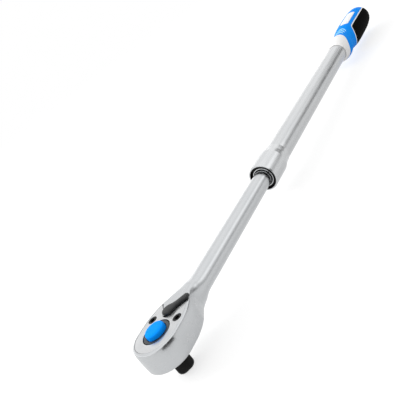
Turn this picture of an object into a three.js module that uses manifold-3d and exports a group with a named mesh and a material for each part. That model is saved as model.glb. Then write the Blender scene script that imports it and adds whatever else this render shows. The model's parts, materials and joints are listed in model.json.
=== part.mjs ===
// Extendable ratchet handle with a 12.7 mm (1/2 inch) square drive, a quick-release button and a
// collar that locks the telescoping handle. Units are millimetres.
// Frame: the origin is the centre of the drive square's end face. +Z is the drive axis, pointing up
// through the head. +X runs along the handle towards the grip. +Y is the left of the head.
import * as THREE from "three";
import { mergeVertices } from "three/addons/utils/BufferGeometryUtils.js";
import Module from "manifold-3d";

const wasm = await Module();
wasm.setup();

// ---------------------------------------------------------------- driving dimensions
const DRIVE_SIZE = 12.7; // across the flats of the square
const DRIVE_TURN = -30; // degrees the square is turned about Z at rest
const HEAD_BOTTOM = 15;
const HEAD_TOP = 34;
const HEAD_HALF_WIDTH = 17.6;
const HEAD_FRONT = -18.5;
const BAR_RADIUS = 8;
const BAR_AXIS_Z = 24;
const NECK_END = 48;
const BAR_END = 268;

const COVER_THICK = 2.4;
const COVER_INSET = 1.5; // width of the rim round the cover plate
const SEAM_GAP = 0.2;
const COVER_HOLE_RADIUS = 10.45;
const SCREW_X = 10.9;
const SCREW_Y = 11.7;
const SCREW_HEAD_RADIUS = 3.2;

const TEETH = 72;
const GEAR_TIP_RADIUS = 12.9;
const GEAR_ROOT_RADIUS = 12.3;
const GEAR_LOW = 21.1;
const GEAR_HIGH = 31;
const CAVITY_RADIUS = 13.6;
const CAVITY_FLOOR = 20;
const BOSS_TOP_RADIUS = 9.9;
const BOSS_LOW_RADIUS = 8.8;
const BUTTON_RADIUS = 7.2;
const BUTTON_RISE = 3.5; // how far the button stands above the head
const ROD_RADIUS = 2.2;
const SOCKET_BALL_RADIUS = 1.9;
const SOCKET_BALL_Z = 7.5;
const SOCKET_BALL_ANGLE = DRIVE_TURN + 90; // degrees, the flat that carries the ball

const LEVER_X = 17.5;
const LEVER_THICK = 2.1;
const KEY_RISE = 1.3; // how far the stem's hexagon reaches into the lever
const LEVER_TURN = -42; // degrees the lever is thrown at rest
const PAWL_ROCK = 5; // degrees each way from its middle
const PAWL_LOW = 21.4;
const PAWL_HIGH = 29.6;

const COLLAR_FRONT = 182;
const COLLAR_REAR = 221;
const COLLAR_RADIUS = 13.5;
const TUBE_FRONT = 182.8;
const TUBE_STEP = 217;
const TUBE_REAR = 560;
const TUBE_RADIUS = 11;
const NOSE_RADIUS = 9.6;
const LOCK_BALL_X = 198.5;
const LOCK_BALL_RADIUS = 2.2;
const TELESCOPE_TRAVEL = 114;
const LOCK_STOPS = 7; // dimples along the bar, one for each locked length
const GUIDE_DEPTH = 1.4; // depth of the guide groove under the bar
const GUIDE_WIDTH = 4.7;

const FLANGE_FRONT = 453;
const GRIP_FRONT = 462; // front edge of the grip's body on its sides
const GRIP_ARCH = 17; // how much further back that edge lies on top
const GRIP_END = 590;
const GRIP_BORE = TUBE_RADIUS + 0.15;
const PANEL_FRONT = 501;
const PANEL_REAR = 583;
const GRIP_TURN = 8; // degrees the grip sits turned about the tube, its label towards -Y
const PANEL_TOP_ANGLE = 48; // degrees above the side of the grip
const PANEL_LOW_ANGLE = -58;
const BORDER_WIDTH = 1.6;
const INLAY_DEPTH = 1.6;
const LABEL_FRONT = 511;
const LABEL_REAR = 556;
const LABEL_HALF_ANGLE = 19;

// Sides of the polygons that stand for round shapes.
const LARGE_ROUND = 32;
const MEDIUM_ROUND = 24;
const SMALL_ROUND = 12;

const RAD = Math.PI / 180;

// ---------------------------------------------------------------- materials
const material = (color, roughness, metalness) =>
  new THREE.MeshStandardMaterial({ color, roughness, metalness });
const satinChrome = material(0xd2d5d6, 0.32, 1);
const coverChrome = material(0xcdd0d2, 0.36, 1);
const brightSteel = material(0xc8cacb, 0.25, 1);
const blackSteel = material(0x222424, 0.4, 0.7);
const springSteel = material(0x8c8f92, 0.35, 1);
const bluePlastic = material(0x1991ff, 0.4, 0);
const leverPlastic = material(0x3a3c3e, 0.5, 0.1);
const blackRubber = material(0x060606, 0.7, 0);
const whitePlastic = material(0xf2f2ee, 0.45, 0);
const greyPlastic = material(0xe6e6df, 0.5, 0);
const cyanPlastic = material(0x86ecff, 0.45, 0);

// ---------------------------------------------------------------- solids
// A closed geometry as a manifold-3d solid, turned right side out.
function solid(geometry) {
  const g = geometry.clone();
  g.deleteAttribute("normal");
  g.deleteAttribute("uv");
  const merged = mergeVertices(g, 1e-4);
  const vertProperties = new Float32Array(merged.attributes.position.array);
  const triVerts = new Uint32Array(merged.index.array);
  const build = () => new wasm.Manifold(new wasm.Mesh({ numProp: 3, vertProperties, triVerts }));
  const made = build();
  if (made.volume() > 0) return made;
  for (let i = 0; i < triVerts.length; i += 3) {
    [triVerts[i + 1], triVerts[i + 2]] = [triVerts[i + 2], triVerts[i + 1]];
  }
  return build();
}

function add(...solids) {
  return solids.reduce((a, b) => a.add(b));
}

function cut(from, ...tools) {
  return tools.reduce((a, b) => a.subtract(b), from);
}

const root = new THREE.Group();

function place(name, shape, look) {
  const m = shape.getMesh();
  const positions = new Float32Array(m.numVert * 3);
  for (let i = 0; i < m.numVert; i++) {
    positions.set(m.vertProperties.subarray(i * m.numProp, i * m.numProp + 3), i * 3);
  }
  const g = new THREE.BufferGeometry();
  g.setAttribute("position", new THREE.BufferAttribute(positions, 3));
  g.setIndex(new THREE.BufferAttribute(new Uint32Array(m.triVerts), 1));
  g.computeVertexNormals();
  const mesh = new THREE.Mesh(g, look);
  mesh.name = name;
  root.add(mesh);
}

// A profile of [radius, height] turned about Z. It starts and ends on the axis or closes on itself.
function turnedZ(profile, segments) {
  const points = profile.map(([r, z]) => new THREE.Vector2(r, z));
  return new THREE.LatheGeometry(points, segments).rotateX(Math.PI / 2);
}

// A profile of [x, radius] turned about the bar's axis.
function turnedX(profile, segments = LARGE_ROUND) {
  const flipped = profile.map(([x, r]) => [r, x]);
  return solid(turnedZ(flipped, segments).rotateY(Math.PI / 2).translate(0, 0, BAR_AXIS_Z));
}

// A plain ring or disc about the bar's axis.
function ringX(x0, x1, outer, inner = 0, segments = LARGE_ROUND) {
  const profile = [
    [x0, inner],
    [x0, outer],
    [x1, outer],
    [x1, inner],
  ];
  if (inner > 0) profile.push([x0, inner]);
  return turnedX(profile, segments);
}

// A plain ring or disc about a vertical axis at (x, y).
function ringZ(z0, z1, outer, inner = 0, segments = LARGE_ROUND, x = 0, y = 0) {
  const profile = [
    [inner, z0],
    [outer, z0],
    [outer, z1],
    [inner, z1],
  ];
  if (inner > 0) profile.push([inner, z0]);
  return solid(turnedZ(profile, segments).translate(x, y, 0));
}

// A plan outline of [x, y] points raised from z0 to z1.
function plate(outline, z0, z1) {
  const shape = new THREE.Shape(outline.map(([x, y]) => new THREE.Vector2(x, y)));
  const depth = z1 - z0;
  return solid(
    new THREE.ExtrudeGeometry(shape, { depth, bevelEnabled: false }).translate(0, 0, z0),
  );
}

function turnAbout(shape, degrees, x, y = 0) {
  return shape.translate([-x, -y, 0]).rotate([0, 0, degrees]).translate([x, y, 0]);
}

function ball(radius, x, y, z) {
  return solid(new THREE.SphereGeometry(radius, 12, 8).translate(x, y, z));
}

// A coil spring along Z from z0 to z1.
function coil(radius, wire, z0, z1, turns, stepsPerTurn, sides) {
  const steps = turns * stepsPerTurn;
  const points = [];
  for (let i = 0; i <= steps; i++) {
    const a = (i / stepsPerTurn) * 2 * Math.PI;
    const z = z0 + wire + ((z1 - z0 - 2 * wire) * i) / steps;
    points.push(new THREE.Vector3(radius * Math.cos(a), radius * Math.sin(a), z));
  }
  const section = new THREE.Shape();
  for (let i = 0; i < sides; i++) {
    const a = (i / sides) * 2 * Math.PI;
    section[i ? "lineTo" : "moveTo"](wire * Math.cos(a), wire * Math.sin(a));
  }
  const extrudePath = new THREE.CatmullRomCurve3(points);
  return new THREE.ExtrudeGeometry(section, { steps, extrudePath, bevelEnabled: false });
}

// Skins between rings of the same number of points, closed by a fan at each end.
function loft(rings) {
  const count = rings[0].length;
  const positions = rings.flat(2);
  const index = [];
  for (let k = 0; k + 1 < rings.length; k++) {
    for (let i = 0; i < count; i++) {
      const a = k * count + i;
      const b = k * count + ((i + 1) % count);
      index.push(a, b, b + count, a, b + count, a + count);
    }
  }
  for (const k of [0, rings.length - 1]) {
    const centre = [0, 1, 2].map((c) => rings[k].reduce((s, p) => s + p[c], 0) / count);
    const hub = positions.length / 3;
    positions.push(...centre);
    for (let i = 0; i < count; i++) {
      const a = k * count + i;
      const b = k * count + ((i + 1) % count);
      if (k === 0) index.push(hub, b, a);
      else index.push(hub, a, b);
    }
  }
  const g = new THREE.BufferGeometry();
  g.setAttribute("position", new THREE.Float32BufferAttribute(positions, 3));
  g.setIndex(index);
  return solid(g);
}

// ---------------------------------------------------------------- head
// Half of the pear-shaped plan of the head, from the nose to the neck, grown outward by `grow`.
function pearOutline(grow) {
  const radius = HEAD_HALF_WIDTH;
  const centreX = HEAD_FRONT + radius;
  const half = [];
  for (let a = 180; a >= 90; a -= 10) {
    half.push([
      centreX + (radius + grow) * Math.cos(a * RAD),
      (radius + grow) * Math.sin(a * RAD),
    ]);
  }
  const flank = new THREE.CatmullRomCurve3(
    [
      [centreX, radius],
      [8, 17.5],
      [16, 16.2],
      [23, 13.9],
      [29, 10.6],
      [35, 6.8],
      [40, 3.6],
    ].map(([x, y]) => new THREE.Vector3(x, y, 0)),
  );
  const steps = 9;
  for (let i = 1; i <= steps; i++) {
    const p = flank.getPointAt(i / steps);
    const t = flank.getTangentAt(i / steps);
    half.push([p.x - t.y * grow * (t.x < 0 ? -1 : 1), p.y + t.x * grow]);
  }
  const mirrored = half
    .slice(1)
    .reverse()
    .map(([x, y]) => [x, -y]);
  return [...half, ...mirrored];
}

// How far the side of the head stands out of the plan at each height.
const SIDE_LEVELS = [
  [HEAD_BOTTOM, -3.6],
  [HEAD_BOTTOM + 0.7, -1.7],
  [HEAD_BOTTOM + 2.5, -0.1],
  [HEAD_BOTTOM + 7, 1.05],
  [HEAD_TOP - 6, 0.9],
  [HEAD_TOP - 0.9, 0],
  [HEAD_TOP - 0.25, -0.3],
  [HEAD_TOP, -0.9],
];

function headBlank() {
  return loft(SIDE_LEVELS.map(([z, grow]) => pearOutline(grow).map(([x, y]) => [x, y, z])));
}

// The neck narrows from the width of the head to the round bar: rings along X of rounded sections.
function neckBlank() {
  const stations = [
    [16, 16, 8.6, 4],
    [23, 13.6, 8.8, 3.6],
    [30, 10.8, 8.8, 3],
    [36, 9.1, 8.5, 2.5],
    [42, 8.25, 8.15, 2.15],
    [NECK_END, BAR_RADIUS, BAR_RADIUS, 2],
  ];
  const count = 24;
  return loft(
    stations.map(([x, halfWidth, halfHeight, power]) =>
      Array.from({ length: count }, (_, i) => {
        const a = (i / count) * 2 * Math.PI;
        const c = Math.cos(a);
        const s = Math.sin(a);
        const y = halfWidth * Math.sign(c) * Math.abs(c) ** (2 / power);
        const z = halfHeight * Math.sign(s) * Math.abs(s) ** (2 / power);
        return [x, y, BAR_AXIS_Z + z];
      }),
    ),
  );
}

// The plan of the cover plate: the pear inset from the rim, with a notch at the rear for the lever.
function coverBlank(grow, z0, z1) {
  const pear = plate(pearOutline(grow - COVER_INSET), z0, z1);
  const notchRadius = 5.4 - grow;
  const notch = [];
  notch.push([60, 36 - grow], [19 + grow, 6.9 - grow], [15.2 + grow, 4.6 - grow]);
  for (let a = 120; a <= 240; a += 15) {
    notch.push([LEVER_X + notchRadius * Math.cos(a * RAD), notchRadius * Math.sin(a * RAD)]);
  }
  notch.push([15.2 + grow, grow - 4.6], [19 + grow, grow - 6.9], [60, grow - 36]);
  return cut(pear, plate(notch, z0 - 1, z1 + 1));
}

const screwPlaces = [
  ["left", SCREW_Y],
  ["right", -SCREW_Y],
];

// The pocket behind the gear that holds the pawl: a sector round the gear and a round end.
const PAWL_REACH = 33; // degrees each side of X that the pawl covers round the gear
function sector(outer, reach) {
  const points = [[0, 0]];
  for (let a = -reach; a <= reach + 0.01; a += reach / 6) {
    points.push([outer * Math.cos(a * RAD), outer * Math.sin(a * RAD)]);
  }
  return points;
}

function pawlPocket() {
  return add(
    plate(sector(17, PAWL_REACH + 4), PAWL_LOW - 0.9, PAWL_HIGH + 0.4),
    ringZ(PAWL_LOW - 0.9, PAWL_HIGH + 0.4, 6.1, 0, MEDIUM_ROUND, LEVER_X),
  );
}

// The groove under the bar that guides the lock ball, with a dimple at each locked length.
function guideGroove() {
  const low = BAR_AXIS_Z - BAR_RADIUS;
  const x0 = LOCK_BALL_X - TELESCOPE_TRAVEL - 8;
  const length = BAR_END - x0 + 2;
  const slot = new THREE.BoxGeometry(length, GUIDE_WIDTH, 2 * GUIDE_DEPTH);
  let groove = solid(slot.translate(x0 + length / 2, 0, low));
  const pitch = TELESCOPE_TRAVEL / (LOCK_STOPS - 1);
  for (let i = 0; i < LOCK_STOPS; i++) {
    const x = LOCK_BALL_X - i * pitch;
    groove = groove.add(ball(LOCK_BALL_RADIUS + 0.05, x, 0, low + GUIDE_DEPTH - 1.6));
  }
  return groove;
}

function headBody() {
  const bar = turnedX([
    [NECK_END - 6, 0],
    [NECK_END - 6, BAR_RADIUS],
    [BAR_END - 0.8, BAR_RADIUS],
    [BAR_END, BAR_RADIUS - 0.8],
    [BAR_END, 5],
    [BAR_END + 8, 5],
    [BAR_END + 8, 0],
  ]);
  const blank = add(headBlank(), neckBlank(), bar);
  const screwHoles = screwPlaces.map(([, y]) => ringZ(23, HEAD_TOP, 1.7, 0, SMALL_ROUND, SCREW_X, y));
  return cut(
    blank,
    ringZ(CAVITY_FLOOR, HEAD_TOP, CAVITY_RADIUS),
    ringZ(HEAD_BOTTOM - 5, HEAD_TOP, BOSS_LOW_RADIUS + 0.3),
    coverBlank(SEAM_GAP, HEAD_TOP - COVER_THICK - 0.05, HEAD_TOP + 2),
    pawlPocket(),
    ringZ(18, 25, 2.4, 0, SMALL_ROUND, LEVER_X),
    ringZ(25, HEAD_TOP + 2, 3.4, 0, MEDIUM_ROUND, LEVER_X),
    ...screwHoles,
    guideGroove(),
    ringX(BAR_END - 12, BAR_END + 12, 2.6, 0, SMALL_ROUND),
  );
}
place("head_body", headBody(), satinChrome);

function coverPlate() {
  const low = HEAD_TOP - COVER_THICK;
  return cut(
    coverBlank(0, low, HEAD_TOP),
    ringZ(low - 1, HEAD_TOP + 1, COVER_HOLE_RADIUS),
    ...screwPlaces.flatMap(([, y]) => [
      ringZ(low - 1, HEAD_TOP + 1, 1.75, 0, SMALL_ROUND, SCREW_X, y),
      ringZ(HEAD_TOP - 1.5, HEAD_TOP + 1, SCREW_HEAD_RADIUS + 0.15, 0, SMALL_ROUND, SCREW_X, y),
    ]),
  );
}
place("cover_plate", coverPlate(), coverChrome);

function coverScrew(y) {
  const top = HEAD_TOP - 0.15;
  const body = turnedZ(
    [
      [0, 24],
      [1.5, 24],
      [1.5, HEAD_TOP - 1.4],
      [SCREW_HEAD_RADIUS, HEAD_TOP - 1.4],
      [SCREW_HEAD_RADIUS, top - 0.3],
      [SCREW_HEAD_RADIUS - 0.3, top],
      [0, top],
    ],
    SMALL_ROUND,
  );
  const socket = ringZ(top - 0.9, top + 1, 1.7, 0, 6, SCREW_X, y);
  return cut(solid(body.translate(SCREW_X, y, 0)), socket);
}
for (const [side, y] of screwPlaces) {
  place("cover_screw_" + side, coverScrew(y), blackSteel);
}

place(
  "gear_washer",
  ringZ(CAVITY_FLOOR + 0.1, GEAR_LOW - 0.15, 12.6, 9.25, MEDIUM_ROUND),
  springSteel,
);

// ---------------------------------------------------------------- gear and square drive
function gearOutline(grow) {
  const points = [];
  for (let i = 0; i < 2 * TEETH; i++) {
    const a = (i * Math.PI) / TEETH;
    const r = grow + (i % 2 ? GEAR_ROOT_RADIUS : GEAR_TIP_RADIUS);
    points.push([r * Math.cos(a), r * Math.sin(a)]);
  }
  return points;
}

function squareDrive() {
  const half = DRIVE_SIZE / 2;
  const length = HEAD_BOTTOM + 1;
  const box = new THREE.BoxGeometry(DRIVE_SIZE, DRIVE_SIZE, length);
  const square = solid(box.translate(0, 0, length / 2).rotateZ(DRIVE_TURN * RAD));
  const corner = half * Math.SQRT2 - 0.5;
  const round = 3.2;
  const profile = [
    [0, 0],
    [corner - round, 0],
  ];
  for (let a = 15; a <= 90; a += 15) {
    profile.push([corner - round + round * Math.sin(a * RAD), round - round * Math.cos(a * RAD)]);
  }
  profile.push([corner, length], [0, length]);
  return square.intersect(solid(turnedZ(profile, LARGE_ROUND)));
}

// A round channel from the rod to one flat of the square.
function ballChannel() {
  const bore = new THREE.CylinderGeometry(2.05, 2.05, 8, SMALL_ROUND).rotateZ(-Math.PI / 2);
  return solid(bore.translate(5, 0, SOCKET_BALL_Z).rotateZ(SOCKET_BALL_ANGLE * RAD));
}

function driveGear() {
  return cut(
    add(
      plate(gearOutline(0), GEAR_LOW, GEAR_HIGH),
      ringZ(GEAR_HIGH - 1, HEAD_TOP - 0.15, BOSS_TOP_RADIUS),
      ringZ(HEAD_BOTTOM - 0.5, GEAR_LOW + 1, BOSS_LOW_RADIUS),
      squareDrive(),
    ),
    ringZ(26.9, HEAD_TOP + 1, BUTTON_RADIUS + 0.3),
    ringZ(19.5, 28, 4.4, 0, SMALL_ROUND),
    ringZ(2.8, 28, ROD_RADIUS + 0.2, 0, SMALL_ROUND),
    ballChannel(),
  );
}
place("drive_gear", driveGear(), blackSteel);

function releaseButton() {
  const top = HEAD_TOP + BUTTON_RISE;
  const profile = [
    [0, 30],
    [BUTTON_RADIUS, 30],
    [BUTTON_RADIUS, top - 1.3],
    [BUTTON_RADIUS - 0.35, top - 0.8],
    [BUTTON_RADIUS - 1.2, top - 0.45],
    [BUTTON_RADIUS - 4, top - 0.1],
    [0, top],
  ];
  return solid(turnedZ(profile, LARGE_ROUND));
}
place("release_button", releaseButton(), bluePlastic);
place("release_rod", ringZ(5.5, 29.95, ROD_RADIUS, 0, SMALL_ROUND), brightSteel);
place("button_spring", solid(coil(3.4, 0.4, 19.6, 29.85, 4, 10, 4)), springSteel);

const ballReach = 4.95; // distance of the socket ball's centre from the drive axis
place(
  "socket_ball",
  ball(
    SOCKET_BALL_RADIUS,
    ballReach * Math.cos(SOCKET_BALL_ANGLE * RAD),
    ballReach * Math.sin(SOCKET_BALL_ANGLE * RAD),
    SOCKET_BALL_Z,
  ),
  brightSteel,
);

// ---------------------------------------------------------------- reversing lever and pawl
function leverOutline() {
  const hub = 5.2;
  const tip = 2.7;
  const reach = 14.2;
  const points = [];
  for (let a = 62; a <= 298; a += 236 / 14) {
    points.push([LEVER_X + hub * Math.cos(a * RAD), hub * Math.sin(a * RAD)]);
  }
  points.push([LEVER_X + 5.4, -2.9], [LEVER_X + 9, -2.35]);
  for (let a = -75; a <= 75; a += 25) {
    points.push([LEVER_X + reach + tip * Math.cos(a * RAD), tip * Math.sin(a * RAD)]);
  }
  points.push([LEVER_X + 9, 2.35], [LEVER_X + 5.4, 2.9]);
  return points;
}

function reverseLever() {
  const bevel = 0.5;
  const shape = new THREE.Shape(leverOutline().map(([x, y]) => new THREE.Vector2(x, y)));
  const slab = new THREE.ExtrudeGeometry(shape, {
    depth: LEVER_THICK - 2 * bevel,
    bevelThickness: bevel,
    bevelSize: bevel,
    bevelOffset: -bevel,
    bevelSegments: 1,
  }).translate(0, 0, HEAD_TOP + 0.15 + bevel);
  const keyHole = ringZ(HEAD_TOP - 1, HEAD_TOP + KEY_RISE + 0.2, 1.8, 0, 6, LEVER_X);
  return turnAbout(cut(solid(slab), keyHole), LEVER_TURN, LEVER_X);
}
place("reverse_lever", reverseLever(), leverPlastic);

const CROSS_BORE_Z = 25.5;
function leverStem() {
  const stem = add(
    ringZ(18.3, 21, 2.2, 0, SMALL_ROUND, LEVER_X),
    ringZ(20.7, HEAD_TOP - 0.1, 3.2, 0, MEDIUM_ROUND, LEVER_X),
    ringZ(HEAD_TOP - 0.5, HEAD_TOP + KEY_RISE, 1.65, 0, 6, LEVER_X),
  );
  const bore = new THREE.CylinderGeometry(1.15, 1.15, 5, SMALL_ROUND).rotateZ(-Math.PI / 2);
  const crossBore = solid(bore.translate(LEVER_X + 1.3, 0, CROSS_BORE_Z));
  return turnAbout(cut(stem, crossBore), LEVER_TURN, LEVER_X);
}
place("lever_stem", leverStem(), brightSteel);

const detentBall = ball(1, LEVER_X + 2.65, 0, CROSS_BORE_Z);
place("lever_detent_ball", turnAbout(detentBall, LEVER_TURN, LEVER_X), brightSteel);

function detentSpring() {
  const wound = coil(0.75, 0.18, 0, 2.7, 3, 8, 3).rotateY(Math.PI / 2);
  const laid = solid(wound.translate(LEVER_X - 1.1, 0, CROSS_BORE_Z));
  return turnAbout(laid, LEVER_TURN, LEVER_X);
}
place("lever_detent_spring", detentSpring(), springSteel);

// A rocker with a toothed arm each side of the lever's axis. It is cut by the gear, with a small
// running clearance, at every step of the rock, so each arm's teeth fit the gear at their own end.
const ROCK_STEP = 0.5; // degrees
function pawl() {
  const gearShape = plate(gearOutline(0.12), PAWL_LOW - 1, PAWL_HIGH + 1);
  const blank = add(
    plate(sector(15.6, PAWL_REACH), PAWL_LOW, PAWL_HIGH),
    ringZ(PAWL_LOW, PAWL_HIGH, 5.5, 0, MEDIUM_ROUND, LEVER_X),
  );
  const sweep = [];
  for (let a = -PAWL_ROCK; a <= PAWL_ROCK; a += ROCK_STEP) {
    sweep.push(turnAbout(gearShape, a, LEVER_X));
  }
  const ballTrack = plate(
    sector(3.85, 50).map(([x, y]) => [LEVER_X + x, y]),
    CROSS_BORE_Z - 1.3,
    CROSS_BORE_Z + 1.3,
  );
  const rocker = cut(
    blank,
    ...sweep,
    ringZ(PAWL_LOW - 1, PAWL_HIGH + 1, 3.4, 0, MEDIUM_ROUND, LEVER_X),
    ballTrack,
  );
  return turnAbout(rocker, -PAWL_ROCK, LEVER_X);
}
place("pawl", pawl(), springSteel);

// ---------------------------------------------------------------- end of the bar inside the tube
place("bar_stop_ring", ringX(BAR_END + 0.2, BAR_END + 7.6, 9.1, 5.15), greyPlastic);
place("bar_end_washer", ringX(BAR_END + 8.2, BAR_END + 9.6, 8, 2.7, MEDIUM_ROUND), springSteel);
function barEndScrew() {
  const screw = turnedX(
    [
      [BAR_END - 10, 0],
      [BAR_END - 10, 2.4],
      [BAR_END + 9.8, 2.4],
      [BAR_END + 9.8, 5],
      [BAR_END + 14, 5],
      [BAR_END + 14, 0],
    ],
    SMALL_ROUND,
  );
  return cut(screw, ringX(BAR_END + 11.5, BAR_END + 15, 2.6, 0, 6));
}
place("bar_end_screw", barEndScrew(), blackSteel);

// ---------------------------------------------------------------- outer tube and lock
function outerTube() {
  const tube = turnedX([
    [TUBE_FRONT + 2.9, 8.3],
    [TUBE_FRONT + 2.9, 8.75],
    [TUBE_FRONT, 8.75],
    [TUBE_FRONT, NOSE_RADIUS],
    [TUBE_FRONT + 1, NOSE_RADIUS],
    [TUBE_FRONT + 1, 9.25],
    [TUBE_FRONT + 2.4, 9.25],
    [TUBE_FRONT + 2.4, NOSE_RADIUS],
    [TUBE_STEP, NOSE_RADIUS],
    [TUBE_STEP, TUBE_RADIUS],
    [TUBE_REAR, TUBE_RADIUS],
    [TUBE_REAR, 9.3],
    [BAR_END - 6, 9.3],
    [BAR_END - 6, 8.3],
    [TUBE_FRONT + 2.9, 8.3],
  ]);
  const hole = ringZ(
    BAR_AXIS_Z - 14,
    BAR_AXIS_Z - 4,
    LOCK_BALL_RADIUS + 0.1,
    0,
    SMALL_ROUND,
    LOCK_BALL_X,
  );
  return cut(tube, hole);
}
place("outer_tube", outerTube(), satinChrome);
place("bar_wiper", ringX(TUBE_FRONT + 0.4, TUBE_FRONT + 2.8, 8.7, 8.12), blackRubber);
place("collar_snap_ring", ringX(TUBE_FRONT + 1.1, TUBE_FRONT + 2.3, 11.2, 9.32), blackSteel);

const lockBallReach = BAR_RADIUS - GUIDE_DEPTH + LOCK_BALL_RADIUS + 0.05;
place(
  "lock_ball",
  ball(LOCK_BALL_RADIUS, LOCK_BALL_X, 0, BAR_AXIS_Z - lockBallReach),
  brightSteel,
);

// Its bore has a mouth for the snap ring, a lip that the ring stops, a tapered chamber that lets the
// ball rise as the collar is drawn back, a land for the spring, and a rear bore over the tube.
function lockCollar() {
  const mouth = TUBE_FRONT + 2.65;
  const lip = mouth + 2.75;
  const land = LOCK_BALL_X + 3;
  return turnedX([
    [COLLAR_FRONT, 11.45],
    [COLLAR_FRONT, 12.7],
    [COLLAR_FRONT + 0.9, COLLAR_RADIUS],
    [COLLAR_REAR - 11, COLLAR_RADIUS],
    [COLLAR_REAR - 7, 13.2],
    [COLLAR_REAR - 3.5, 12.6],
    [COLLAR_REAR - 1, 12],
    [COLLAR_REAR, 11.6],
    [COLLAR_REAR, TUBE_RADIUS + 0.2],
    [land + 2.5, TUBE_RADIUS + 0.2],
    [land + 2.5, 9.85],
    [land, 9.85],
    [land, 11.2],
    [LOCK_BALL_X - 1, 11.3],
    [LOCK_BALL_X - 7, 11.95],
    [lip, 11.95],
    [lip, 9.85],
    [mouth, 9.85],
    [mouth, 11.45],
    [COLLAR_FRONT, 11.45],
  ]);
}
place("lock_collar", lockCollar(), satinChrome);

function collarSpring() {
  const front = LOCK_BALL_X + 5.7;
  const wound = coil(10.42, 0.5, front, TUBE_STEP - 0.3, 3, 16, 4).rotateY(Math.PI / 2);
  return solid(wound.translate(0, 0, BAR_AXIS_Z));
}
place("collar_spring", collarSpring(), springSteel);

place("tube_plug", ringX(TUBE_REAR - 14, TUBE_REAR - 0.5, 9.1), greyPlastic);

// ---------------------------------------------------------------- grip
// The outside of the grip as [x, radius], from its front rim to its rounded end.
const GRIP_PROFILE = [
  [FLANGE_FRONT, 12.2],
  [FLANGE_FRONT + 3, 13.3],
  [FLANGE_FRONT + 7, 14.5],
  [FLANGE_FRONT + 11, 15.2],
  [469, 15.6],
  [478, 15],
  [488, 14.2],
  [497, 15.1],
  [508, 16.3],
  [528, 16.8],
  [556, 16.7],
  [570, 16.3],
  [578, 15],
  [584, 12.6],
  [588, 9],
  [GRIP_END, 4.5],
];

function gripRadius(x) {
  const i = Math.max(1, GRIP_PROFILE.findIndex(([px]) => px >= x));
  const [x0, r0] = GRIP_PROFILE[i - 1];
  const [x1, r1] = GRIP_PROFILE[i];
  return r0 + ((r1 - r0) * (x - x0)) / (x1 - x0);
}

// A skin of the grip between two stations, from `under` below its surface to `over` above it.
function gripSkin(x0, x1, under, over) {
  const stations = [x0, ...GRIP_PROFILE.map(([x]) => x).filter((x) => x > x0 && x < x1), x1];
  const outer = stations.map((x) => [x, gripRadius(x) + over]);
  const inner = stations.map((x) => [x, gripRadius(x) - under]).reverse();
  return turnedX([...outer, ...inner, outer[0]]);
}

// A wedge about the bar's axis between two angles, measured from -Y towards +Z.
function wedge(fromDegrees, toDegrees, x0, x1) {
  const reach = 30;
  const points = [[0, 0]];
  const steps = 6;
  for (let i = 0; i <= steps; i++) {
    const a = (fromDegrees + ((toDegrees - fromDegrees) * i) / steps) * RAD;
    points.push([-reach * Math.cos(a), reach * Math.sin(a)]);
  }
  const shape = new THREE.Shape(points.map(([y, z]) => new THREE.Vector2(y, z)));
  const prism = new THREE.ExtrudeGeometry(shape, { depth: x1 - x0, bevelEnabled: false });
  const basis = new THREE.Matrix4().makeBasis(
    new THREE.Vector3(0, 1, 0),
    new THREE.Vector3(0, 0, 1),
    new THREE.Vector3(1, 0, 0),
  );
  return solid(prism.applyMatrix4(basis).translate(x0, 0, BAR_AXIS_Z));
}

function placeOnGrip(name, shape, look) {
  const level = shape.translate([0, 0, -BAR_AXIS_Z]);
  place(name, level.rotate([GRIP_TURN, 0, 0]).translate([0, 0, BAR_AXIS_Z]), look);
}

const gripSides = [
  ["right", PANEL_LOW_ANGLE, PANEL_TOP_ANGLE],
  ["left", 180 - PANEL_TOP_ANGLE, 180 - PANEL_LOW_ANGLE],
];
const borderAngle = BORDER_WIDTH / 16.6 / RAD;
const gapAngle = 0.6; // degrees, about 0.17 mm at the surface of the grip
const labelSpan = [90 - LABEL_HALF_ANGLE, 90 + LABEL_HALF_ANGLE];

// One arc-shaped stripe of the chevron on top of the grip, raised from the skin.
function chevron(apexX, halfWidth, grow, under, over) {
  const drop = 6;
  const band = 1.9;
  const front = [];
  const rear = [];
  for (let i = -5; i <= 5; i++) {
    const y = (i / 5) * (halfWidth + grow);
    const x = apexX - drop * (y / halfWidth) ** 2;
    front.push([x - band / 2 - grow, y]);
    rear.unshift([x + band / 2 + grow, y]);
  }
  const stripe = plate([...front, ...rear], BAR_AXIS_Z + 5, BAR_AXIS_Z + 25);
  return stripe.intersect(gripSkin(472, 512, under, over));
}
const chevrons = [
  [498, 7.3],
  [493, 6.2],
  [488, 5.1],
];

const gripOutside = turnedX([[FLANGE_FRONT, 0], ...GRIP_PROFILE, [GRIP_END, 0]]);
const gripBore = ringX(FLANGE_FRONT - 1, TUBE_REAR + 1, GRIP_BORE);

// All that lies ahead of the arched edge where the flange meets the body of the grip.
function aheadOfArch(shift) {
  const width = 40;
  const points = [
    [FLANGE_FRONT - 5, BAR_AXIS_Z - 20],
    [GRIP_FRONT + shift, BAR_AXIS_Z - 20],
  ];
  const steps = 8;
  const topRadius = 15.3;
  for (let i = 0; i <= steps; i++) {
    const rise = i / steps;
    points.push([GRIP_FRONT + GRIP_ARCH * rise ** 2 + shift, BAR_AXIS_Z + topRadius * rise]);
  }
  points.push(
    [GRIP_FRONT + GRIP_ARCH + shift, BAR_AXIS_Z + 20],
    [FLANGE_FRONT - 5, BAR_AXIS_Z + 20],
  );
  const shape = new THREE.Shape(points.map(([x, z]) => new THREE.Vector2(x, z)));
  const prism = new THREE.ExtrudeGeometry(shape, { depth: width, bevelEnabled: false });
  return solid(prism.rotateX(Math.PI / 2).translate(0, width / 2, 0));
}

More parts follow.
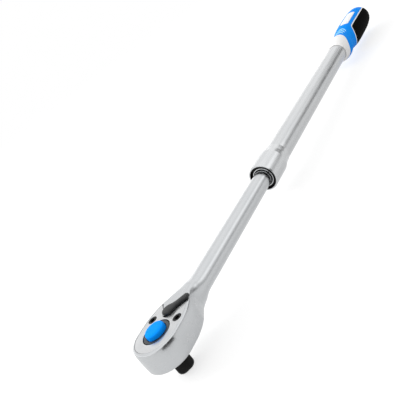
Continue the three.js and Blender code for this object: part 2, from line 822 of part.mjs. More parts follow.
function gripCore() {
  const recesses = gripSides.map(([, low, high]) =>
    gripSkin(PANEL_FRONT - BORDER_WIDTH - 0.2, PANEL_REAR + 0.2, INLAY_DEPTH + 0.2, 2).intersect(
      wedge(low - borderAngle - gapAngle, high + borderAngle + gapAngle, 480, 600),
    ),
  );
  const labelRecess = gripSkin(LABEL_FRONT - 0.2, LABEL_REAR + 0.2, 1, 2).intersect(
    wedge(labelSpan[0] - gapAngle, labelSpan[1] + gapAngle, 500, 600),
  );
  const chevronRecesses = chevrons.map(([x, halfWidth]) => chevron(x, halfWidth, 0.15, 0.8, 1));
  return cut(
    gripOutside,
    gripBore,
    aheadOfArch(0),
    ...recesses,
    labelRecess,
    ...chevronRecesses,
  );
}
placeOnGrip("grip_core", gripCore(), bluePlastic);

placeOnGrip(
  "grip_flange",
  cut(gripOutside.intersect(aheadOfArch(-0.2)), gripBore),
  greyPlastic,
);

for (const [side, low, high] of gripSides) {
  const panelWedge = wedge(low, high, 480, 600);
  const panel = gripSkin(PANEL_FRONT, PANEL_REAR, INLAY_DEPTH, 0.15).intersect(panelWedge);
  placeOnGrip("grip_panel_" + side, panel, blackRubber);
  const frame = gripSkin(PANEL_FRONT - BORDER_WIDTH, PANEL_REAR, INLAY_DEPTH, 0.05).intersect(
    wedge(low - borderAngle, high + borderAngle, 480, 600),
  );
  const opening = gripSkin(PANEL_FRONT - 0.2, PANEL_REAR + 5, INLAY_DEPTH + 2, 2).intersect(
    wedge(low - gapAngle, high + gapAngle, 480, 600),
  );
  placeOnGrip("panel_border_" + side, frame.subtract(opening), whitePlastic);
}

placeOnGrip(
  "grip_label",
  gripSkin(LABEL_FRONT, LABEL_REAR, 0.8, 0.1).intersect(wedge(...labelSpan, 500, 600)),
  whitePlastic,
);
chevrons.forEach(([x, halfWidth], i) => {
  placeOnGrip("grip_chevron_" + (i + 1), chevron(x, halfWidth, 0, 0.65, 0.1), cyanPlastic);
});

export default root;
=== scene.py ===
"""The looks of the extendable ratchet handle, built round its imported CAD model.

Lengths are millimetres in the CAD frame: the drive axis is Z, the handle runs along +X, and the origin is
the centre of the drive's end face. Meshes are turned into metres where they are made. Bump depths and the
section on the floor, light and camera are in metres.
"""

import json
import math

import bmesh
import bpy
import numpy as np
from mathutils import Matrix, Vector
from mathutils.geometry import tessellate_polygon


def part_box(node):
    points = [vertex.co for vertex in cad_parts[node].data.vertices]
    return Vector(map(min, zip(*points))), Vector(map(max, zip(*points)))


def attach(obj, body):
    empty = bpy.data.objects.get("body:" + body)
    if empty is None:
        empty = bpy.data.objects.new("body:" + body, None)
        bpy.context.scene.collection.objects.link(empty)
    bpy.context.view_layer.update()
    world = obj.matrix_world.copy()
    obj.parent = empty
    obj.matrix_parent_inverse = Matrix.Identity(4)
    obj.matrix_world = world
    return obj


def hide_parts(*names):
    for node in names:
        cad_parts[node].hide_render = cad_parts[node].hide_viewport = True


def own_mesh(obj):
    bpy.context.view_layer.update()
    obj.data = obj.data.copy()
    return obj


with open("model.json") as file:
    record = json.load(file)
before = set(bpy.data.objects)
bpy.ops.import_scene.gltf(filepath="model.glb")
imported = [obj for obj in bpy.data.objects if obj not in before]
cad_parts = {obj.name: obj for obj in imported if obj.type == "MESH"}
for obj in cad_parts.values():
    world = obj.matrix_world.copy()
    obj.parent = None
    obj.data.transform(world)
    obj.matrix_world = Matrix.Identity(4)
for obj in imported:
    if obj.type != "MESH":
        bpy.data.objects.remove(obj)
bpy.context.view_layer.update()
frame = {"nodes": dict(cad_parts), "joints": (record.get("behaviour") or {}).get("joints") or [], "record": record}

MM = 0.001
record = frame["record"]
joints = {joint["name"]: joint for joint in frame["joints"]}
mounts = {mount["name"]: mount for mount in record["mounts"]}
slot_of = {part["node"]: part["material_slot"] for part in record["subparts"]}
body_of = {node: body for body, members in record["behaviour"]["bodies"].items() for node in members}


def limits(node):
    """Lowest and highest corner of a CAD node, in millimetres."""
    low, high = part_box(node)
    return low / MM, high / MM


# ---------------------------------------------------------------- sizes read from the frame
head_low, head_high = limits("head_body")
tube_low, tube_high = limits("outer_tube")
collar_low, collar_high = limits("lock_collar")
button_low, button_high = limits("release_button")
core_low, core_high = limits("grip_core")
flange_low, flange_high = limits("grip_flange")
screw_low, screw_high = limits("cover_screw_left")
lever_low, lever_high = limits("reverse_lever")
snap_low, snap_high = limits("collar_snap_ring")
wiper_low, wiper_high = limits("bar_wiper")
lock_ball_low, lock_ball_high = limits("lock_ball")
socket_ball_low, socket_ball_high = limits("socket_ball")

AXIS_Z = (tube_low.z + tube_high.z) / 2  # height of the bar's axis
TOP = head_high.z
BOTTOM = head_low.z
BOSS_TOP = limits("drive_gear")[1].z
PLATE_BOTTOM = limits("cover_plate")[0].z
STOP_X = limits("bar_stop_ring")[0].x  # front of the stop ring on the bar's end
BAR_RADIUS = 8.0
TUBE_RADIUS = (tube_high.z - tube_low.z) / 2
COLLAR_RADIUS = (collar_high.z - collar_low.z) / 2
BUTTON_RADIUS = (button_high.x - button_low.x) / 2
PIVOT_X = joints["reverse_lever"]["pos_m"][0] / MM
SCREW_X = (screw_low.x + screw_high.x) / 2
SCREW_Y = (screw_low.y + screw_high.y) / 2
SCREW_RADIUS = (screw_high.x - screw_low.x) / 2
LOCK_X = (lock_ball_low.x + lock_ball_high.x) / 2
TRAVEL = joints["telescope"]["range_m"][1] / MM  # how far the bar slides
SOCKET_BALL_Z = (socket_ball_low.z + socket_ball_high.z) / 2
BALL_AXIS = -Vector(mounts["drive_flat"]["axis"])
DRIVE_TURN = math.atan2(BALL_AXIS.y, BALL_AXIS.x) - math.pi / 2


# ---------------------------------------------------------------- mesh helpers
def piece_from(name, build, node=None, look=None, sharp=35):
    """A piece from what build(bm) makes in millimetres: welded, facing out, smooth but for its sharp edges.

    It stands for that CAD node, moves with the node's body, and has the look of the node's material slot
    unless another is named.
    """
    bm = bmesh.new()
    build(bm)
    bmesh.ops.remove_doubles(bm, verts=bm.verts, dist=5e-4)
    bmesh.ops.dissolve_degenerate(bm, edges=bm.edges, dist=1e-6)
    bmesh.ops.recalc_face_normals(bm, faces=bm.faces)
    mesh = bpy.data.meshes.new(name)
    bm.to_mesh(mesh)
    bm.free()
    mesh.transform(Matrix.Scale(MM, 4))
    piece = bpy.data.objects.new(name, mesh)
    bpy.context.scene.collection.objects.link(piece)
    shade(piece, sharp)
    mesh.materials.append(looks[look or slot_of[node]] if node else None)
    if node:
        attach(piece, body_of[node])
        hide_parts(node)
    return piece


def shade(piece, sharp=35):
    """Smooth shading with creases where two faces meet at more than that many degrees."""
    bm = bmesh.new()
    bm.from_mesh(piece.data)
    limit = math.radians(sharp)
    for face in bm.faces:
        face.smooth = True
    for edge in bm.edges:
        edge.smooth = len(edge.link_faces) == 2 and edge.calc_face_angle(0) < limit
    bm.to_mesh(piece.data)
    bm.free()


def combine(piece, build, operation="DIFFERENCE"):
    """Cuts what build(bm) makes out of the piece, or joins it to the piece."""
    tool = piece_from("tool", build)
    modifier = piece.modifiers.new("combine", "BOOLEAN")
    modifier.solver = "MANIFOLD"
    modifier.operation = operation
    modifier.object = tool
    graph = bpy.context.evaluated_depsgraph_get()
    made = bpy.data.meshes.new_from_object(piece.evaluated_get(graph))
    piece.modifiers.clear()
    old = piece.data
    look = old.materials[0]
    made.materials.clear()
    made.materials.append(look)
    made.polygons.foreach_set("material_index", [0] * len(made.polygons))
    piece.data = made
    bpy.data.meshes.remove(old)
    bpy.data.objects.remove(tool)
    shade(piece)


def along_bar(a, b, c):
    """Local (across, up, along) to the frame, for shapes about the bar's axis."""
    return Vector((c, a, AXIS_Z + b))


def upright(a, b, c):
    return Vector((a, b, c))


def add_grid(bm, rows, wrap_rows=False, wrap_columns=False):
    """Quads between rows of points of the same length."""
    made = [[bm.verts.new(point) for point in row] for row in rows]
    count = len(made[0])
    for i in range(len(made) - (0 if wrap_rows else 1)):
        one, two = made[i], made[(i + 1) % len(made)]
        for j in range(count - (0 if wrap_columns else 1)):
            k = (j + 1) % count
            bm.faces.new((one[j], one[k], two[k], two[j]))
    return made


def revolve(bm, profile, place, segments=96, x=0.0, y=0.0):
    """A closed skin from a profile of (radius, along), which ends on the axis or closes on itself."""
    closed = profile[0][0] > 1e-6
    rows = []
    for i in range(segments):
        angle = 2 * math.pi * i / segments
        c, s = math.cos(angle), math.sin(angle)
        rows.append([place(x + r * c, y + r * s, along) for r, along in profile])
    add_grid(bm, rows, wrap_rows=True, wrap_columns=closed)


def rounded(corners, closed=True, steps=4):
    """An outline or profile from corners (a, b) or (a, b, radius), each radius made an arc."""
    points = []
    count = len(corners)
    for i, corner in enumerate(corners):
        here = Vector(corner[:2])
        radius = corner[2] if len(corner) > 2 else 0
        if radius <= 0 or (not closed and i in (0, count - 1)):
            points.append(tuple(here))
            continue
        before = Vector(corners[i - 1][:2]) - here
        after = Vector(corners[(i + 1) % count][:2]) - here
        half = before.angle(after) / 2
        reach = min(radius / math.tan(half), 0.49 * before.length, 0.49 * after.length)
        radius = reach * math.tan(half)
        start = here + before.normalized() * reach
        end = here + after.normalized() * reach
        centre = here + (before.normalized() + after.normalized()).normalized() * (radius / math.sin(half))
        for k in range(steps + 1):
            mixed = start.lerp(end, k / steps) - centre
            points.append(tuple(centre + mixed.normalized() * radius))
    return points


def smooth_steps(stations, x):
    """A monotone cubic through stations of (x, value)."""
    xs, ys = (np.array(column, float) for column in zip(*stations))
    slopes = np.diff(ys) / np.diff(xs)
    tangents = np.zeros(len(xs))
    same = slopes[:-1] * slopes[1:] > 0
    tangents[1:-1][same] = 2 / (1 / slopes[:-1][same] + 1 / slopes[1:][same])
    tangents[0], tangents[-1] = slopes[0], slopes[-1]
    i = int(np.clip(np.searchsorted(xs, x) - 1, 0, len(xs) - 2))
    step = xs[i + 1] - xs[i]
    t = float(np.clip((x - xs[i]) / step, 0, 1))
    return float(
        (2 * t**3 - 3 * t**2 + 1) * ys[i]
        + (t**3 - 2 * t**2 + t) * step * tangents[i]
        + (3 * t**2 - 2 * t**3) * ys[i + 1]
        + (t**3 - t**2) * step * tangents[i + 1]
    )


def offset(outline, distance):
    """A closed outline moved outward, for an outline that runs anticlockwise."""
    moved = []
    for i, point in enumerate(outline):
        before, after = Vector(outline[i - 1]), Vector(outline[(i + 1) % len(outline)])
        here = Vector(point)
        one, two = (here - before).normalized(), (after - here).normalized()
        normal = Vector((one.y + two.y, -one.x - two.x))
        normal.normalize()
        stretch = 1 / max(0.5, normal.dot(Vector((one.y, -one.x))))
        moved.append(tuple(here + normal * distance * stretch))
    return moved


def circle(radius, x=0.0, y=0.0, segments=64, turn=0.0):
    angles = [turn + 2 * math.pi * i / segments for i in range(segments)]
    return [(x + radius * math.cos(a), y + radius * math.sin(a)) for a in angles]


def arc(radius, degrees, x=0.0, y=0.0):
    """Points of a circle at those angles in degrees."""
    angles = [math.radians(angle) for angle in degrees]
    return [(x + radius * math.cos(a), y + radius * math.sin(a)) for a in angles]


def add_plate(bm, outline, low, high, place, bevel=0.0, holes=(), steps=3):
    """A flat plate with rounded edges and holes right through it. Outlines run anticlockwise."""
    levels = [(low, 0.0), (high, 0.0)]
    if bevel:
        arc = [math.pi / 2 * k / steps for k in range(steps + 1)]
        bottom = [(low + bevel * (1 - math.sin(a)), bevel * (1 - math.cos(a))) for a in reversed(arc)]
        top = [(high - bevel * (1 - math.sin(a)), bevel * (1 - math.cos(a))) for a in arc]
        levels = bottom + top
    caps = {"low": [], "high": []}
    for path, sign in [(outline, 1), *((hole, -1) for hole in holes)]:
        rows = [[place(a, b, level) for a, b in offset(path, -sign * inset)] for level, inset in levels]
        made = add_grid(bm, rows, wrap_columns=True)
        caps["low"].append(made[0])
        caps["high"].append(made[-1])
    for loops in caps.values():
        flat = [vert for loop in loops for vert in loop]
        paths = [[vert.co for vert in loop] for loop in loops]
        for triangle in tessellate_polygon(paths):
            corners = [flat[i] for i in triangle]
            if len(set(corners)) == 3:
                bm.faces.new(corners)


def add_loft(bm, rings):
    """Skins between rings of points, closed at both ends."""
    made = add_grid(bm, rings, wrap_columns=True)
    for ring in (made[0], made[-1]):
        centre = sum((vert.co for vert in ring), Vector()) / len(ring)
        hub = bm.verts.new(centre)
        for i, vert in enumerate(ring):
            bm.faces.new((hub, vert, ring[(i + 1) % len(ring)]))


def rod(radius, low, high, x=0.0, y=0.0, place=upright, segments=64):
    """What builds a round rod, for cutting."""
    profile = [(0, low), (radius, low), (radius, high), (0, high)]
    return lambda bm: revolve(bm, profile, place, segments, x, y)


def add_ball(bm, radius, centre, steps=16):
    profile = arc(radius, np.linspace(-90, 90, steps + 1), 0, centre.z)
    profile[0], profile[-1] = (0, centre.z - radius), (0, centre.z + radius)
    revolve(bm, profile, upright, 32, centre.x, centre.y)


def bearing_ball(node):
    low, high = limits(node)
    radius, centre = (high.z - low.z) / 2, (low + high) / 2
    return piece_from(node + "_fine", lambda bm: add_ball(bm, radius, centre), node)


# ---------------------------------------------------------------- materials
def feed(tree, node, inputs):
    """Sets a node's inputs to numbers or colours, or links them to other nodes' outputs."""
    for socket, value in inputs.items():
        if isinstance(value, bpy.types.NodeSocket):
            tree.links.new(value, node.inputs[socket])
        else:
            node.inputs[socket].default_value = value


def add_node(tree, kind, inputs=None, operation=None):
    node = tree.nodes.new("ShaderNode" + kind)
    if operation:
        node.operation = operation
    feed(tree, node, inputs or {})
    return node


def add_range(tree, value, start, end, low, high):
    """Maps a value from start..end to low..high."""
    inputs = {"Value": value, "From Min": start, "From Max": end, "To Min": low, "To Max": high}
    return add_node(tree, "MapRange", inputs)


class Graph:
    """A material's nodes, added one line at a time."""

    def __init__(self, name):
        self.material = bpy.data.materials.new(name)
        self.material.use_nodes = True
        self.tree = self.material.node_tree
        self.shader = self.tree.nodes["Principled BSDF"]
        self.position = add_node(self.tree, "TexCoord").outputs["Object"]

    def set(self, inputs):
        feed(self.tree, self.shader, inputs)

    def stretched(self, scale):
        return add_node(self.tree, "Mapping", {"Scale": scale, "Vector": self.position}).outputs["Vector"]

    def noise(self, scale, detail=3.0, rough=0.55, vector=None):
        inputs = {"Scale": scale, "Detail": detail, "Roughness": rough, "Vector": vector or self.position}
        return add_node(self.tree, "TexNoise", inputs).outputs["Fac"]

    def cells(self, scale):
        inputs = {"Scale": scale, "Vector": self.position}
        return add_node(self.tree, "TexVoronoi", inputs).outputs["Distance"]

    def spread(self, value, low, high, start=0.3, end=0.7):
        return add_range(self.tree, value, start, end, low, high).outputs["Result"]

    def math(self, operation, one, two):
        return add_node(self.tree, "Math", {0: one, 1: two}, operation).outputs["Value"]

    def colours(self, value, one, two):
        node = add_node(self.tree, "Mix")
        node.data_type = "RGBA"
        feed(self.tree, node, {"Factor": value, "A": one, "B": two})
        return node.outputs["Result"]

    def axes(self):
        return add_node(self.tree, "SeparateXYZ", {"Vector": self.position}).outputs

    def above(self, height):
        """1 above a height in millimetres, 0 below it."""
        return self.math("GREATER_THAN", self.axes()["Z"], height * MM)

    def within(self, radius, end):
        """1 inside a radius in millimetres about the bar's axis and ahead of an end, 0 elsewhere."""
        axes = self.axes()
        rise = self.math("SUBTRACT", axes["Z"], AXIS_Z * MM)
        reach = self.math("ADD", self.math("POWER", axes["Y"], 2.0), self.math("POWER", rise, 2.0))
        inside = self.math("LESS_THAN", reach, (radius * MM) ** 2)
        return self.math("MULTIPLY", inside, self.math("LESS_THAN", axes["X"], end * MM))

    def bump(self, height, distance, strength=1.0):
        """Adds a bump over the ones that the shader already has."""
        inputs = {"Distance": distance, "Strength": strength, "Height": height}
        earlier = self.shader.inputs["Normal"].links
        if earlier:
            inputs["Normal"] = earlier[0].from_socket
        self.set({"Normal": add_node(self.tree, "Bump", inputs).outputs["Normal"]})


def grey(value, warmth=0.0):
    return (value * (1 + warmth), value, value * (1 - warmth), 1)


def tint(red, green, blue):
    return (red, green, blue, 1)


LONG_STREAKS = (60, 1400, 1400)  # marks drawn out along the bar
PAINTED_SHADE_DEPTH = 12  # how far behind the collar's mouth its painted shade reaches


def satin_metal(
    name, light, dark, roughness, streaks=LONG_STREAKS, grain=5200, grain_depth=0.0000025, bare_inside=0.0
):
    """Plated steel: cloudy tone, fine grain and faint marks.

    Inside a given radius about the bar, and ahead of a given end, the colour is painted near-black: painted shade
    inside the collar's mouth.
    """
    g = Graph(name)
    cloud = g.noise(38, 4)
    marks = g.noise(1.0, 3, 0.6, g.stretched(streaks))
    fine = g.noise(grain, 2)
    tone = g.math("ADD", g.math("MULTIPLY", cloud, 0.55), g.math("MULTIPLY", marks, 0.45))
    wear_and_painted_shade = g.colours(g.spread(tone, 0, 1, 0.35, 0.65), dark, light)
    # painted shade: the inside of the collar's mouth is painted near-black, where shade falls
    if bare_inside:
        wear_and_painted_shade = g.colours(g.within(bare_inside, collar_low.x + PAINTED_SHADE_DEPTH), wear_and_painted_shade, grey(0.012))
    rough = g.spread(marks, roughness - 0.05, roughness + 0.06)
    rough = g.math("ADD", rough, g.spread(fine, -0.02, 0.03))
    g.set({"Metallic": 1.0, "Base Color": wear_and_painted_shade, "Roughness": rough})
    g.bump(fine, grain_depth)
    g.bump(marks, 0.0000015)
    return g.material


BOSS_BARE_FROM = 31.5  # the boss of the drive is bare above this height


def machined_metal(name, light, dark, roughness, boss_tone=0.0):
    """Bare or blackened steel with fine turning marks. The drive's boss can have a paler tone."""
    g = Graph(name)
    cloud = g.noise(140, 4)
    base = g.colours(g.spread(cloud, 0, 1), dark, light)
    if boss_tone:
        base = g.colours(g.above(BOSS_BARE_FROM), base, grey(boss_tone, -0.03))
    rough = g.spread(cloud, roughness - 0.05, roughness + 0.08)
    g.set({"Metallic": 1.0, "Base Color": base, "Roughness": rough})
    g.bump(g.noise(4200, 2), 0.000006)
    return g.material


def moulded(name, light, dark, roughness, index=1.2):
    """Plastic with a fine moulded grain and a slight tone change."""
    g = Graph(name)
    fine = g.cells(1500)
    rough = g.spread(fine, roughness - 0.04, roughness + 0.06, 0.0, 0.8)
    tone = g.colours(g.spread(g.noise(60, 3), 0, 1), dark, light)
    g.set({"Specular IOR Level": 0.4, "IOR": index, "Base Color": tone, "Roughness": rough})
    g.bump(fine, 0.000012)
    return g.material


def soft_black(name):
    """Soft-touch black with a pebbled grain and dust-light high spots."""
    g = Graph(name)
    cloud = g.noise(55, 4)
    tone = g.colours(g.spread(cloud, 0, 1), tint(0.0012, 0.0012, 0.0013), tint(0.0035, 0.0034, 0.0035))
    rough = g.spread(cloud, 0.5, 0.66)
    g.set({"Specular IOR Level": 0.4, "IOR": 1.06, "Base Color": tone, "Roughness": rough})
    g.bump(g.cells(900), 0.00005, 0.7)
    return g.material


looks = {}


def add_look(name, kind, *values, **more):
    looks[name] = kind(name, *values, **more)


add_look("satin_chrome", satin_metal, grey(0.62, -0.015), grey(0.59, -0.02), 0.24)
# the collar's plating is painted near-black inside its mouth, as painted shade
add_look(
    "collar_chrome", satin_metal, grey(0.66, -0.015), grey(0.62, -0.02), 0.24, grain_depth=0.000004,
    bare_inside=12.1,
)
add_look(
    "head_chrome", satin_metal, grey(0.60, -0.02), grey(0.58, -0.025), 0.22, (260, 260, 260),
    grain_depth=0.0000015,
)
add_look(
    "cover_chrome", satin_metal, grey(0.65, -0.012), grey(0.61, -0.012), 0.36, (900, 900, 900), 3600, 0.00001
)
add_look("bright_steel", machined_metal, grey(0.75), grey(0.66), 0.18)
add_look("spring_steel", machined_metal, grey(0.42), grey(0.32), 0.3)
add_look("black_steel", machined_metal, grey(0.026), grey(0.012), 0.4)
add_look("drive_steel", machined_metal, grey(0.026), grey(0.012), 0.4, 0.085)
add_look("lever_metal", machined_metal, grey(0.06, -0.03), grey(0.035, -0.03), 0.42)
add_look("blue_plastic", moulded, tint(0.004, 0.30, 1.0), tint(0.002, 0.27, 0.97), 0.5, 1.1)
add_look("white_plastic", moulded, grey(0.95), grey(0.92), 0.4)
add_look("grey_plastic", moulded, grey(0.92, 0.008), grey(0.89, 0.008), 0.42)
add_look("cyan_plastic", moulded, tint(0.5, 0.91, 1.0), tint(0.45, 0.88, 0.98), 0.4)
add_look("black_rubber", soft_black)

for node, solid in frame["nodes"].items():  # the inner pieces that aren't rebuilt keep their CAD solids
    solid.data.materials.clear()
    solid.data.materials.append(looks[slot_of[node]])


# ---------------------------------------------------------------- head, neck and bar, one forging
NOSE_RADIUS = 17.6  # plan of the flat top: a half circle, then a flank that narrows to the neck
NOSE_X = head_low.x + 18.65
RIDGE = [(NOSE_X, 17.6), (8, 17.5), (16, 16.2), (23, 13.9), (29, 10.6), (35, 6.8), (40, 3.4), (43.5, 0)]
GIRTH = [
    (NOSE_X, 18.65), (8, 18.55), (16, 17.6), (23, 15.6), (29, 12.7), (35, 9.9), (40, 8.6), (45, 8.1), (50, 8),
]
POWER = [(NOSE_X, 4.5), (16, 4), (29, 3), (40, 2.4), (50, 2)]
NECK_HEIGHT = [(43.5, TOP - AXIS_Z), (47, 9.0), (51, 8.25), (55, BAR_RADIUS)]
STRAIGHT_FROM = 56
RIDGE_SOFTNESS = 1.3
BASE_SOFTNESS = 6.0


def soft_min(a, b, width):
    h = max(width - abs(a - b), 0) / width
    return min(a, b) - h * h * width / 4


def section(x):
    """Half of the section at x as (outward, height) points, from the top round to the bottom."""
    up, down = TOP - AXIS_Z, AXIS_Z - BOTTOM
    ridge, girth, power = (max(0.0, smooth_steps(s, x)) for s in (RIDGE, GIRTH, POWER))
    if x < RIDGE[-1][0]:
        height = up / (1 - min(ridge / girth, 0.999) ** power) ** (1 / power)
    else:
        height = smooth_steps(NECK_HEIGHT, x)
    ridge_angle = min(math.degrees(math.atan2(up, max(ridge, 0.01))), 70)
    base_angle = -math.degrees(math.atan2(down, girth * 0.85))
    base_softness = max(BASE_SOFTNESS * min((46 - x) / 12, 1), 0.1)
    spread = [
        *np.linspace(90, ridge_angle + 5, 5, endpoint=False),
        *np.linspace(ridge_angle + 5, ridge_angle - 5, 11, endpoint=False),
        *np.linspace(ridge_angle - 5, base_angle + 9, 9, endpoint=False),
        *np.linspace(base_angle + 9, base_angle - 12, 9, endpoint=False),
        *np.linspace(base_angle - 12, -90, 6),
    ]
    points = []
    for angle in spread:
        c, s = max(math.cos(math.radians(angle)), 0.0), math.sin(math.radians(angle))
        reach = ((c / girth) ** power + (abs(s) / height) ** power) ** (-1 / power)
        if s > 0:
            reach = soft_min(reach, up / s, RIDGE_SOFTNESS)
        elif s < 0:
            reach = soft_min(reach, down / -s, base_softness)
        points.append((reach * c, AXIS_Z + reach * s))
    points[0] = (0.0, points[0][1])
    points[-1] = (0.0, points[-1][1])
    return points


def bar_section(radius):
    return [(r * radius / BAR_RADIUS, AXIS_Z + (z - AXIS_Z) * radius / BAR_RADIUS) for r, z in section(100)]


def forging():
    """The head, neck and bar: half sections swept out one side, round the nose and back along the other."""
    bar_end = STOP_X - 0.2
    stations = [*np.arange(NOSE_X, STRAIGHT_FROM, 1.0), *np.linspace(STRAIGHT_FROM, bar_end - 0.8, 22)]
    profiles = [(x, section(x)) for x in stations]
    for x, radius in [(bar_end, 7.2), (bar_end, 5), (bar_end + 7.6, 5), (bar_end + 8, 4.6)]:
        profiles.append((x, bar_section(radius)))
    rows = [[Vector((x, r, z)) for r, z in profile] for x, profile in reversed(profiles)]
    nose = profiles[0][1]
    for degrees in range(94, 270, 4):
        c, s = math.cos(math.radians(degrees)), math.sin(math.radians(degrees))
        rows.append([Vector((NOSE_X + r * c, r * s, z)) for r, z in nose])
    rows += [[Vector((x, -r, z)) for r, z in profile] for x, profile in profiles]
    def skin(bm):
        grid = add_grid(bm, rows)
        bm.faces.new([*grid[0], *reversed(grid[-1][1:-1])])

    return piece_from("head_forging", skin, "head_body", "head_chrome")


def plan(inset):
    """The +Y half of the flat top's outline, moved in from the ridge, from the nose to its far end."""
    points = arc(NOSE_RADIUS - inset, range(180, 90, -4), NOSE_X)
    for x in np.arange(NOSE_X, RIDGE[-1][0], 1.0):
        y = smooth_steps(RIDGE, x)
        slope = smooth_steps(RIDGE, x + 0.1) - y
        normal = Vector((-slope, 0.1)).normalized()
        points.append((x - inset * normal.x, y - inset * normal.y))
    return points


COVER_INSET = 1.5
SEAM = 0.2
NOTCH_RADIUS = 5.4
NOTCH_MOUTH = (19, 6.9)  # where the notch's straight side meets the cover's flank
NOTCH_THROAT = (15.2, 4.6)  # where that side meets the arc round the lever's hub
MOUTH_SLOPE = 0.71


def cover_outline(grow):
    """The cover plate's plan, anticlockwise: the flat top inside its rim, with a notch for the lever."""
    (mouth_x, mouth_y), (throat_x, throat_y) = NOTCH_MOUTH, NOTCH_THROAT
    flank = []
    for x, y in plan(COVER_INSET - grow):
        if x < mouth_x or y > (x - mouth_x - grow) * MOUTH_SLOPE + mouth_y - grow:
            flank.append((x, y))
    notch = [(mouth_x + grow, mouth_y - grow), (throat_x + grow, throat_y - grow)]
    notch += arc(NOTCH_RADIUS - grow, range(125, 236, 5), PIVOT_X)
    notch += [(throat_x + grow, grow - throat_y), (mouth_x + grow, grow - mouth_y)]
    below = [(x, -y) for x, y in reversed(flank[1:])]
    return list(reversed([*flank, *notch, *below]))


GROOVE_DEPTH = 1.4
GROOVE_HALF = 2.35
LOCK_STOPS = 7
POCKET_LOW, POCKET_HIGH = 20.5, 30  # bottom and top of the pawl's pocket
BOTTOM_RING = 10.4  # a shallow step round the hole under the head


def pawl_pocket(bm):
    """A sector round the gear."""
    add_plate(bm, [(0, 0), *arc(17, range(-37, 38))], POCKET_LOW, POCKET_HIGH, upright)


def guide_groove(bm):
    """The flat-bottomed groove that the lock ball runs in, under the bar."""
    front, rear = LOCK_X - TRAVEL - 8, STOP_X + 3.8
    half, low = GROOVE_HALF, AXIS_Z - BAR_RADIUS
    outline = rounded([(front, -half, 2.2), (rear, -half), (rear, half), (front, half, 2.2)])
    add_plate(bm, outline, low - 1, low + GROOVE_DEPTH, upright)


def cut_forging(piece):
    combine(piece, lambda bm: add_plate(bm, cover_outline(SEAM), PLATE_BOTTOM - 0.05, TOP + 2, upright))
    combine(piece, rod(13.6, 20, TOP + 1, segments=128))  # room for the gear
    combine(piece, rod(9.1, BOTTOM - 2, 21, segments=96))  # the drive's bearing
    combine(piece, pawl_pocket)
    combine(piece, rod(6.1, POCKET_LOW, POCKET_HIGH, PIVOT_X))  # the pocket's round end
    combine(piece, rod(2.4, 18, 25, PIVOT_X))  # the hole for the lever's stem
    combine(piece, rod(3.4, 25, TOP + 2, PIVOT_X))  # and its wider top
    for side in (1, -1):
        combine(piece, rod(1.7, 23, TOP + 1, SCREW_X, side * SCREW_Y, segments=32))
    combine(piece, guide_groove)
    for i in range(LOCK_STOPS):
        x = LOCK_X - TRAVEL * i / (LOCK_STOPS - 1)
        centre = Vector((x, 0, AXIS_Z - BAR_RADIUS + GROOVE_DEPTH - 1.6))
        combine(piece, lambda bm: add_ball(bm, 2.25, centre, 12))  # a dimple for the lock ball
    combine(piece, rod(2.6, STOP_X - 12, STOP_X + 12, place=along_bar, segments=32))  # the end screw
    combine(piece, rod(BOTTOM_RING, BOTTOM - 1, BOTTOM + 0.35, segments=96))


cut_forging(forging())


def cover_plate():
    outlines = [circle(10.45, segments=96)]
    outlines += [circle(SCREW_RADIUS + 0.15, SCREW_X, side * SCREW_Y, 40) for side in (1, -1)]
    piece_from(
        "cover_plate_fine",
        lambda bm: add_plate(bm, cover_outline(0), PLATE_BOTTOM, TOP, upright, 0.22, outlines),
        "cover_plate",
    )


cover_plate()


def cover_screw(side, sign):
    """A button-head screw with a hex socket and a small bevel round its rim."""
    top, seat = TOP - 0.15, PLATE_BOTTOM + 0.3
    profile = rounded(
        [(0, 24.0), (1.5, 24.0, 0.3), (1.5, seat), (SCREW_RADIUS, seat, 0.1),
         (SCREW_RADIUS, top, 0.45), (2.1, top, 0.12), (1.9, top - 0.25), (0, top - 0.25)],
        closed=False,
    )
    x, y = SCREW_X, sign * SCREW_Y
    piece = piece_from(
        "cover_screw_fine_" + side, lambda bm: revolve(bm, profile, upright, 48, x, y), "cover_screw_" + side
    )
    hexagon = circle(1.75, x, y, 6, 0.3)
    combine(piece, lambda bm: add_plate(bm, hexagon, top - 1.5, top + 1, upright))


for side, sign in (("left", 1), ("right", -1)):
    cover_screw(side, sign)


# ---------------------------------------------------------------- gear, boss and square drive
TEETH = 72


def gear_outline():
    """Fine triangular teeth with narrow flats at tip and root."""
    points = []
    for i in range(TEETH):
        for share, radius in ((-0.14, 12.9), (0.14, 12.9), (0.42, 12.3), (0.58, 12.3)):
            angle = 2 * math.pi * (i + share) / TEETH
            points.append((radius * math.cos(angle), radius * math.sin(angle)))
    return points


def square_ring(half, corner, level):
    corners = [(half, -half, corner), (half, half, corner), (-half, half, corner), (-half, -half, corner)]
    turn = Matrix.Rotation(DRIVE_TURN, 2)
    return [upright(*(turn @ Vector(point)), level) for point in rounded(corners, steps=6)]


